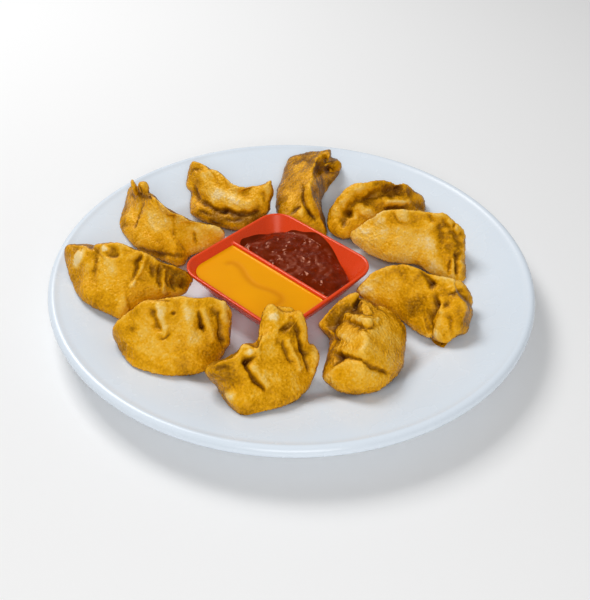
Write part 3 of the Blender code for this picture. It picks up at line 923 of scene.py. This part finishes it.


# A place is in mm on the plate, and an outline is the edge that the diner sees. A lobe is u, v, n,
# three half-sizes and a turn. A fold is a line, its depth, width, lip and darkening, partly real
# frying and partly painted shade in the crease, and a ridge is a line, its rise and width; a ridge
# is also painted a little paler, a painted highlight. A dent is u, v, radius, depth and darkening,
# partly real frying and partly painted shade, a blister u, v, length, width, turn, rise and paling,
# and a patch u, v, radius and darkening, which mixes real frying with painted shade and, below zero,
# painted highlight. The back of each dumpling takes the marks of the third one after it, mirrored.
MOMOS = (
    dict(
        place=(10, 90), fried=0.49,
        outline=(
            (-12.5, 17.5), (-1, 21), (6, 22), (12, 23.5), (14, 22.5), (13.5, 18.5), (19, 17.5),
            (21.5, 13.5), (19.5, 6.5), (12, -4), (7.5, -12.5), (7.5, -16.5), (12, -27), (14.5, -32.5),
            (7.5, -34), (-4, -31), (-14, -26.5), (-20, -21), (-21.5, -6.5), (-18.5, 3), (-15.5, 13),
        ),
        lobes=((12, 21, 0, 4, 2.4, 3, 10), (16, 12.5, -1, 4.5, 6.5, 5, 80)),
        folds=(
            (((-11.5, 15), (-3.5, 17), (1.5, 16), (7, 14), (10.5, 13)), 0.9, 0.9, 0.6, 0.2),
            (((0, 1), (2, 5.5), (5, 11.5)), 0.6, 1.4, 0.9, 0.1),
            (((-3.5, 0), (-4, -6), (-3, -11), (-1, -16), (3, -20.5), (6, -25)), 1.3, 0.8, 0.3, 0.32),
            (((-4.5, -13), (-7.5, -16.5), (-11.5, -21)), 1.5, 0.9, 0.4, 0.5),
            (((-0.5, -16), (4.5, -23)), 0.8, 0.9, 0.6, 0.2),
        ),
        ridges=((((-3.5, -15), (-5, -20)), 0.8, 2.0), (((1, -2), (0, -10), (4, -18)), 0.4, 2.0)),
        dents=(
            (8, 10, 3.2, 2.4, 0.3), (14, 9.5, 2.4, 1.6, 0.22), (12, 3, 6, 1.2, 0.1),
            (6, -5, 5, 1.0, 0.1),
        ),
        blisters=((11, 12.5, 1.2, 1.6, 0, 0.5, 0.3),),
        patches=(
            (16.5, 14.5, 4, 0.1), (19, 9, 4, 0.06), (-2.5, 19.5, 4, 0.1), (-19, -10, 4, 0.08),
            (6.5, 3, 5, -0.16), (8.5, -8, 5, -0.14), (13, 6, 5, -0.14), (-2, 12, 5, -0.1),
            (-7.5, 8.5, 4, -0.08), (-12, -7, 5, -0.1), (-4, -17, 3, -0.1),
        ),
    ),
    dict(
        place=(53, 63), fried=0.41,
        outline=(
            (-29, -16), (-30, -8.5), (-28, -1), (-23, 7.5), (-16.5, 14), (-7, 16), (-0.5, 18),
            (6.5, 18), (13, 16), (17, 17), (20, 16.5), (24, 12.5), (30, 10), (32, 0), (26.5, -6),
            (12.5, -11), (0, -16), (-14, -20.5), (-23.5, -20.5),
        ),
        folds=(
            (
                (
                    (-20, -14.5), (-20, -7.5), (-18.5, -2), (-13.5, 2.5), (-6, 7.5), (0, 11.5),
                    (7.5, 13.5), (17, 13.5),
                ),
                2.2, 1.8, 1.6, 0.2,
            ),
            (((5, 0.5), (11.5, 1.5), (18, 2), (21, 2)), 1.6, 0.9, 0.8, 0.5),
            (((-11, 4), (-2, 7), (4, 9), (12, 10.5), (19, 11.5)), 1.6, 1.6, 0, 0.3),
        ),
        ridges=(
            (((-25, -10), (-24, -3), (-19, 5), (-13, 10.5), (-5, 13.5)), 1.2, 3.0),
            (((7.5, 4.5), (13.5, 5.5), (20, 6)), 1.2, 1.6),
        ),
        dents=(
            (-16.5, -4.5, 2.2, 3.0, 0.5), (7, 14, 3, 1.4, 0.3), (13, 14.5, 2.5, 1.2, 0.3),
            (-5, 3, 4, 1.2, 0.1),
        ),
        blisters=(
            (-6, -2, 8, 4.5, -20, 1.2, 0.2), (-12, -6, 2.6, 2.6, 0, 0.5, 0.12),
            (13, 5, 8, 2.4, 5, 0.6, 0.16),
        ),
        patches=(
            (25, 5, 4, 0.14), (29.5, 3, 3, 0.14), (20.5, 13, 3, 0.2), (-24, -16, 4, 0.12),
            (0, 17, 4, 0.15), (-25, -4.5, 4, -0.1), (-11.5, 11, 4, -0.08), (-20.5, 5, 3, -0.06),
            (12, 16, 3, 0.25),
        ),
    ),
    dict(
        place=(71, 26), fried=0.23,
        outline=(
            (-36.5, 0), (-34, 4), (-24, 13), (-17.5, 18), (-4, 20), (7.5, 20), (17.5, 21), (25, 16),
            (31.5, 12.5), (34, 5.5), (33.5, 0), (36, -10.5), (36, -19.5), (28, -19.5), (15.5, -17),
            (5, -12), (-9.5, -13.5), (-20.5, -10.5), (-32, -4.5),
        ),
        folds=(
            (((30, -3), (30.5, -10), (31.5, -17)), 1.8, 0.9, 0.8, 0.4),
            (((26, -5), (26.5, -10.5), (26.5, -17)), 1.4, 0.9, 0.6, 0.24),
            (((25, -14), (22, -7), (19, -1.5), (18.5, 6), (16.5, 14)), 1.2, 1.8, 1.2, 0.08),
            (((22, 13), (26, 9), (29, 4), (29.5, 0)), 1.0, 1.4, -0.4, 0.12),
            (((8, 21), (11, 17), (14.5, 13)), 1.6, 2.0, 0, 0.12),
            (((-12, 19), (-9.5, 14), (-6, 11.5), (-2, 12.5)), 0.8, 1.0, 0.3, 0.1),
        ),
        ridges=(
            (((28.5, -7.5), (29.2, -15.5)), 0.9, 1.3),
            (((33, -8.5), (33.5, -15.5)), 0.7, 1.3),
            (((22.5, 17), (24, 12)), 0.6, 1.2),
            (((28, 14), (27, 10)), 0.6, 1.2),
            (((33, 8), (30, 5)), 0.7, 1.3),
            (((18, 19), (25, 13.5), (30, 9), (32, 3), (32.5, -3)), 1.3, 2.2),
        ),
        dents=(
            (30.5, -3.5, 2, 1.6, 0.4), (24, 1, 3, 1, 0.12), (25.5, 13.5, 1.6, 0.9, 0.14),
            (30, 9.5, 1.6, 0.9, 0.14),
        ),
        blisters=(
            (-6.5, 15.5, 5.6, 4.8, 0, 1.0, 0.1), (-27, 4.5, 6.5, 3.2, 10, 0.5, 0.14),
            (-19, 11, 5, 2, 45, 0.3, 0.08), (21, 10.5, 2.4, 2.0, 0, 0.4, 0.1),
            (23.5, 3.5, 2.4, 2.0, 0, 0.4, 0.1),
        ),
        patches=(
            (22, -1, 6, 0.12), (27, 8, 7, 0.14), (32, 3, 6, 0.12), (19, 10, 6, 0.14),
            (29.5, -4, 5, 0.1), (20, 17, 6, 0.12), (31, -14, 6, 0.1), (2, 17, 7, 0.1),
            (-12, 16, 5, 0.12), (4, 11, 6, 0.08), (-11.5, 11.5, 3, 0.1), (-12.5, -9, 6, 0.08),
            (10, -14, 8, 0.06), (5.5, 4.5, 6, -0.1), (12.5, -1, 6, -0.1), (-14.5, 4.5, 7, -0.08),
            (16.5, -11, 4, -0.08), (-5, -4, 6, -0.04),
        ),
    ),
    dict(
        place=(71, -27), fried=0.33, smoothing=26,
        outline=(
            (-35, -0.5), (-31, 6.5), (-26, 12), (-15.5, 17), (-6.5, 18), (6, 14.5), (16.5, 14.5),
            (24, 12.5), (28, 8), (30.5, 2.5), (31, -5), (29.5, -14), (23.5, -18.5), (17.5, -24),
            (12, -22.5), (1.5, -18), (-10, -12.5), (-23.5, -7.5), (-33.5, -2),
        ),
        lobes=((15.5, -12.5, 6, 11, 8, 7, 84), (21, 3, 0, 10, 10, 8, 60)),
        folds=(
            (((-1.5, 16), (3, 13), (6.5, 9.5), (10, 9)), 1.5, 1.3, 0.6, 0.36),
            (
                ((11, -19), (10, -14), (9.5, -8.5), (11, -4), (11.5, -1.5), (9.5, 2.5), (7, 6)),
                1.4, 1.6, -0.6, 0.24,
            ),
            (((14.5, 4), (18, 5.5), (21, 7.5), (24, 8.5), (28, 8)), 1.4, 1.0, 0.8, 0.3),
            (((16, -5.5), (19, -8.5), (21, -13), (21, -19)), 0.9, 1.2, 0.4, 0.22),
        ),
        ridges=((((13, 1), (14, -5)), 0.9, 1.6), (((14, -8), (13.5, -18)), 0.8, 3.0)),
        dents=(
            (6.5, 9.5, 2.2, 1.7, 0.45), (11, -1, 1.8, 1.0, 0.3), (16, -0.5, 2.0, 0.8, 0.2),
            (18.5, -8, 2.4, 0.6, 0.1),
        ),
        blisters=(
            (14.5, -13, 4.5, 8.5, -5, 0.5, 0.06), (-29, 1.5, 5, 3.4, 40, 0.5, 0.14),
            (-24, 8, 4, 2.2, 35, 0.3, 0.1),
        ),
        patches=(
            (25, 5, 4, 0.14), (27.5, -11, 4, 0.16), (25, -3, 5, 0.12), (-12, 17, 5, 0.16),
            (1.5, 14.5, 4, 0.14), (-2.5, -10, 9, 0.1), (13, 6.5, 3, 0.12), (-6, 3, 12, 0.05),
            (3, -3, 9, 0.08), (-26, 4, 7, -0.1), (-13.5, 4, 6, -0.08), (1, 5, 4, -0.05),
            (17, 11.5, 4, -0.08),
        ),
    ),
    dict(
        place=(39, -67), fried=0.3, smoothing=40,
        outline=(
            (-19.5, 3), (-26, 8.5), (-23.5, 12.5), (-16, 23), (-8, 28), (-5, 26), (-1, 24), (3, 22),
            (8, 22), (14.5, 18), (20.5, 11), (20.5, -0.5), (19.5, -11), (10.5, -20.5), (1, -25),
            (-11.5, -24.5), (-19.5, -20), (-21, -16.5), (-19, -6),
        ),
        lobes=((-15.5, 16.5, -9, 15, 7, 4.5, 48),),
        folds=(
            (((-12, 13.5), (-8.5, 12.5), (-4, 10.5), (1, 10.5), (6.5, 12.5)), 1.5, 1.1, 0.6, 0.3),
            (((-10.5, 17.5), (-4.5, 18), (1, 17.5), (5.5, 17.5)), 1.2, 1.0, 0.3, 0.2),
            (
                (
                    (-17.5, -3), (-13.5, -5), (-9, -5.5), (-4.5, -6), (0.5, -7.5), (6, -10), (9.5, -11),
                    (15.5, -13),
                ),
                2.2, 1.1, 1.4, 0.36,
            ),
            (((-10.5, -6.5), (-13.5, -8.5), (-17, -11.5)), 1.8, 1.2, 0.3, 0.4),
            (((-4, 28), (-5.5, 24), (-8, 20), (-10, 17)), 1.8, 1.0, 0, 0.9),
            (((-8.5, 20), (-12.5, 17), (-15, 13), (-17, 8.5), (-18.5, 3.5)), 2.2, 1.4, 2.2, 0.3),
            (((-19.5, -17.5), (-17, -19), (-17, -21.5), (-14.5, -20)), 0.6, 0.8, 0.2, 0.1),
        ),
        ridges=((((-11, 15.5), (-6, 14.5), (-1, 14), (4, 14.5)), 1.6, 1.8),),
        dents=((-13, -6, 2.2, 1.6, 0.4), (-20, 14, 6, 1.5, 0)),
        patches=(
            (-20, 13, 7, 0.2), (18.5, 12, 4, 0.14), (18.5, -11, 4, 0.14), (-19.5, -8.5, 4, 0.16),
            (-14, 20, 5, 0.16), (0, -24, 9, 0.08), (-10, 6, 4, -0.08), (-0.5, 4.5, 4, -0.06),
            (7, 10, 4, -0.08), (-4, -13, 5, -0.06),
        ),
    ),
    dict(
        place=(-15, -84), fried=0.35,
        outline=(
            (-2.5, 14), (-9, 12.5), (-12, 9), (-19.5, 5), (-24.5, 3.5), (-29.5, -1), (-23.5, -7.5),
            (-19, -16), (-12.5, -22), (-9, -23.5), (-4.5, -23), (5.5, -21), (16, -17.5), (24.5, -10),
            (28.5, -0.5), (29.5, 5), (28, 9.5), (24.5, 14), (24, 20.5), (22.5, 26), (18, 30),
            (11.5, 31.5), (5, 32.5), (1, 29.5), (0.5, 22),
        ),
        lobes=((12.5, 22, -1, 11.5, 9.5, 4.5, 0), (24, 4, -2, 9, 5, 8, 80)),
        folds=(
            (((15.5, 27), (15.5, 23.5), (12, 21), (8.5, 18.5)), 1.5, 1.1, -1.2, 0.2),
            (((17.5, 24.5), (19, 19), (20.5, 12.5), (21.5, 9), (25, 6.5)), 1.8, 1.0, 0.4, 0.3),
            (
                (
                    (-2, 6), (-7, 4.5), (-8, 1.5), (-6, -1), (-4.5, -4.5), (-2, -7.5), (1, -10),
                    (2.5, -12.5),
                ),
                2.4, 0.95, 0.9, 0.42,
            ),
            (((11, 15), (12, 10), (14, 5), (16, 1.5)), 1.5, 1.0, 0.8, 0.24),
            (((20, 15), (21.5, 10), (23, 4), (24, -0.5), (25, -5)), 1.9, 1.0, 0.5, 0.32),
            (((9, 16), (9, 11)), 0.7, 1.2, 0, 0.12),
            (((-26, 2), (-21, 1), (-15, 2)), 1.0, 1.2, 0.4, 0.2),
            (((-25, -3.5), (-20, -5), (-15, -5)), 0.8, 1.2, 0.4, 0.18),
        ),
        ridges=(
            (((14, 13), (16.5, 7), (19.5, 0.5)), 1.3, 1.7),
            (((-3.5, 0), (-0.5, -5), (2.5, -8.5)), 0.8, 1.8),
            (((27, 11), (28, 4.5), (26.5, -1.5)), 0.8, 1.8),
        ),
        dents=((-7.5, 3, 1.8, 1.6, 0.5), (17, 19, 3.5, 1.2, 0.1)),
        blisters=(
            (7, 26, 3.2, 3.0, 0, 0.7, 0.24), (-5.5, 8.5, 3.4, 1.8, 18, 0.9, 0.18),
            (-16, -13, 3.4, 3.4, 0, 0.6, 0.2),
        ),
        patches=(
            (-22, -1, 8, 0.09), (-25.5, -4.5, 5, 0.08), (-16.5, 0.5, 6, 0.08), (-12, -8, 8, 0.05),
            (-6.5, -21, 5, 0.1), (15, 19.5, 4, 0.12), (4, 9, 4, -0.08), (3, -4, 4, -0.08),
            (16, -5.5, 4, -0.06), (5, 22, 5, -0.04), (12, -18, 6, 0.06),
        ),
    ),
    dict(
        place=(-62, -60), fried=0.32,
        outline=(
            (-32, 4), (-30.5, 9), (-22, 15.5), (-12.5, 20.5), (-6, 22), (7, 22), (20, 19), (26.5, 16),
            (30.5, 12.5), (31, 6.5), (29.5, -3), (27.5, -9.5), (20, -19), (12, -22), (-1.5, -22),
            (-9.5, -20), (-19, -16.5), (-26, -11.5), (-30.5, -0.5),
        ),
        folds=(
            (((-6.5, 1), (-8.5, 6), (-9.5, 11), (-10, 17)), 1.6, 1.5, -0.8, 0.22),
            (((-11.5, 1), (-8.5, 0), (-6, -1.5), (-3.5, 0.5), (-2.5, 3.5)), 1.3, 1.0, 0.6, 0.22),
            (((13.5, 12), (14.5, 6.5), (15, 3), (16.5, -1.5)), 2.4, 1.0, 0.9, 0.34),
            (((24, 12), (24, 5), (24.5, -2.5), (25, -9)), 1.9, 1.0, 1.2, 0.34),
            (((22, 14), (21.5, 6)), 0.9, 1.4, 0, 0.14),
            (((-10, 20), (-5, 19.5), (-0.5, 18.5), (1.5, 20)), 1.0, 0.8, 0.8, 0.3),
            (((-13.5, 19), (-11, 21), (-9, 22)), 0.6, 0.8, 0.3, 0.2),
        ),
        ridges=(
            (((-7, 15), (-6, 10), (-5, 5)), 1.2, 2.2),
            (((7, 15), (8, 8), (9, 0)), 1.0, 3.0),
            (((17, 9.5), (18.5, 3.5), (19.5, -4.5)), 0.9, 1.8),
            (((27.5, 13), (27.5, 7), (27.5, -0.5), (27, -7)), 1.1, 1.7),
        ),
        dents=((0.5, 11.5, 1.1, 1.2, 0.35), (15.2, 2.5, 1.5, 1.0, 0.4), (-21.5, 6, 2.4, 0.5, 0.12)),
        patches=(
            (19, -13, 8, 0.14), (-28, 5.5, 4, 0.1), (5, -21, 9, 0.1), (-20, 17, 5, 0.14),
            (-7.5, 12.5, 3.5, -0.1), (7, 12.5, 4, -0.08), (10.5, -3.5, 5, -0.1), (27, -6, 7, 0.1),
            (-28, -4, 6, 0.1), (14, 17, 6, 0.08), (-14, 4.5, 4.5, -0.1), (4, 2.5, 3, -0.1),
            (-12, -8, 8, -0.04),
        ),
    ),
    dict(
        place=(-97, -17), fried=0.36,
        outline=(
            (-28.5, 20.5), (-23, 21.5), (-9.5, 20.5), (0.5, 20), (9, 15), (16, 11.5), (22.5, 6),
            (29, 2.5), (35, -1.5), (40, -6.5), (37, -10), (33, -15), (14.5, -16), (8.5, -16.5),
            (3, -20), (-3, -23.5), (-10.5, -19.5), (-21.5, -12), (-26.5, -4), (-29, 9),
        ),
        folds=(
            (((-17.5, 1.5), (-16, 4), (-13.5, 9), (-12, 14.5), (-11, 19.5)), 1.2, 1.3, 0.5, 0.18),
            (((0.5, 14.5), (-1.5, 12), (-4.5, 12.5), (-7, 15.5)), 1.6, 1.0, 1.0, 0.2),
            (((14.5, 11.5), (10.5, 8), (8.5, 3.5), (8, 0), (6, -4)), 2.0, 1.5, 0.6, 0.28),
            (((19, 6.5), (17.5, 2), (17.5, -3.5)), 1.0, 1.4, 0.4, 0.14),
            (((22.5, 5.5), (21, -2), (20, -11)), 1.4, 1.1, 0.6, 0.2),
            (((30.5, -1.5), (28, -6), (28.5, -13.5)), 1.4, 1.2, 0.4, 0.2),
            (((26, 1), (24.5, -4), (25.5, -12)), 0.7, 0.9, 0.3, 0.12),
            (((34.5, -4.5), (33.5, -8), (31.5, -12)), 1.0, 1.2, 0.3, 0.16),
            (((20, 7), (27, 1.5), (33, -3.5)), 0.9, 0.9, 0.4, 0.16),
        ),
        ridges=(
            (((14.5, 9), (11.5, 4), (8.5, -1), (5, -5.5)), 1.4, 1.6),
            (((24, -0.5), (22.5, -5.5), (22, -12)), 1.2, 1.3),
        ),
        dents=((-2.5, 15.5, 3.2, 1.2, 0.12),),
        blisters=(
            (-22, 14, 6.0, 2.8, 58, 0.9, 0.6), (-7, 17.5, 2.2, 1.9, 0, 0.5, 0.45),
            (7, 11, 3.4, 2.4, -20, 0.5, 0.1),
        ),
        patches=(
            (-26, 18, 4, 0.14), (-13, 19, 4, 0.14), (20, 0, 5, 0.1), (28, -3, 7, 0.14),
            (35, -7, 6, 0.16), (-14, -15, 8, 0.08), (15, 8, 3, 0.1), (-8, 8, 5, -0.12),
            (-3, 3, 5, -0.1), (-1.5, -7, 5, -0.04), (-17, 9, 2.5, -0.1),
        ),
    ),
    dict(
        place=(-81, 42), fried=0.305,
        outline=(
            (-18, 25.5), (-16.5, 28), (-14.5, 27.5), (-13, 24), (-11.5, 26), (-8, 26), (-6.5, 22.5),
            (-6.5, 20), (-4.5, 17.5), (1, 10.5), (10, 3), (19, -1.5), (26, -3), (34, -6), (37.5, -10.5),
            (31, -17), (14.5, -22.5), (7, -27.5), (-8, -21), (-20.5, -13), (-26, -6.5), (-27, 3),
            (-22.5, 15),
        ),
        lobes=((-16, 23, -1, 5.5, 2.2, 3, 100), (-9.5, 21.5, 0, 4.6, 3.2, 3.4, 95)),
        folds=(
            (((-19.5, -2.5), (-17.5, 2), (-15, 7), (-13.5, 10), (-11, 15)), 1.1, 0.9, -0.6, 0.22),
            (((5, 3), (6, -2), (5.5, -7), (4.5, -12.5)), 0.7, 1.1, 0.5, 0.12),
            (((17, -5), (18, -9), (18, -14), (18.5, -17)), 1.2, 1.1, 0.6, 0.16),
            (((1.5, 6.5), (3, 4), (6.5, 3.5), (9, 3.5)), 0.9, 0.9, 0.5, 0.14),
            (((-12.5, 24.5), (-13, 21), (-12, 18)), 1.4, 0.9, 0, 0.4),
            (((-19.5, -13.5), (-11.5, -16.5), (-4, -19), (3, -20.5), (10.5, -21)), 1.2, 1.3, 0.8, 0.26),
        ),
        dents=((-7.5, 17.5, 2, 1.2, 0.5), (-17, 18.5, 1.6, 0.5, 0.2)),
        patches=(
            (-14, 22, 6, 0.14), (-10, 17, 3, 0.16), (-8, -17, 8, 0.14), (6, -22, 8, 0.14),
            (-23, 2, 4, 0.06), (-6.5, 4, 5, -0.12), (-3.5, -3, 5, -0.1), (3.5, 0, 4, -0.08),
            (20.5, -6, 4, -0.06), (-11, 6, 3, -0.05),
        ),
    ),
    dict(
        place=(-43, 73), fried=0.34,
        outline=(
            (-22.5, 23.5), (-18.5, 23), (-5, 16.5), (0, 11), (8.5, 6), (16.5, 3), (21.5, 4),
            (22.5, 6.5), (24.5, 9), (27.5, 9.5), (29.5, 5.5), (30, 1), (27.5, -4.5), (26, -10.5),
            (18.5, -17.5), (7, -24), (-2, -26), (-12, -24.5), (-19.5, -18), (-24.5, -12.5), (-25.5, -4),
            (-24, 3), (-24.5, 6), (-27.5, 8.5), (-25, 17),
        ),
        lobes=((26.5, 2.5, 2, 6.5, 3, 4, 80),),
        folds=(
            (((-23.5, 10), (-21.5, 6), (-20.5, 1.5), (-18.5, -2.5)), 1.8, 1.2, 0.3, 0.36),
            (
                ((-18.5, -1), (-12, -5), (-7.5, -7.5), (-2, -8.5), (5.5, -10.5), (14, -11), (21, -9)),
                2.6, 1.5, 1.2, 0.36,
            ),
            (((24.5, -6), (23, -0.5), (22, 4)), 1.2, 1.0, 0.5, 0.2),
            (((-24, 16.5), (-20.5, 19), (-17, 18.5)), 0.8, 0.9, 0.3, 0.16),
            (((-21, -7), (-15, -9.5), (-10, -12)), 1.0, 1.1, 0.4, 0.24),
            (((-4, -13), (3, -15), (10, -14)), 1.1, 1.2, 0.4, 0.26),
            (((-14, -13), (-10, -16), (-4, -17.5)), 0.9, 1.0, 0.3, 0.2),
        ),
        ridges=((((-15, 14), (-9.5, 7), (-1, 0), (11, -5)), 0.9, 4.0),),
        dents=((-3, -8.2, 2.4, 1.2, 0.3),),
        patches=(
            (-20, 11, 3, 0.14), (-5.5, 8, 2, 0.1), (-9, -15, 9, 0.2), (5, -17, 9, 0.2),
            (-21, -9, 7, 0.14), (16, -14, 8, 0.14), (18, -12, 5, 0.16), (26, -6.5, 3, 0.12),
            (-21, 19, 4, 0.12), (-10, 3, 5, -0.14), (-4, -1.5, 5, -0.14), (4.5, -4.5, 5, -0.13),
            (12, -7, 5, -0.12), (-14.5, 14, 3, -0.12), (-24, 17, 5, 0.1), (3, 2, 4, -0.1),
        ),
    ),
)

for number, momo in enumerate(MOMOS, start=1):
    make_dumpling(number, momo, behind=MOMOS[(number + 2) % len(MOMOS)])
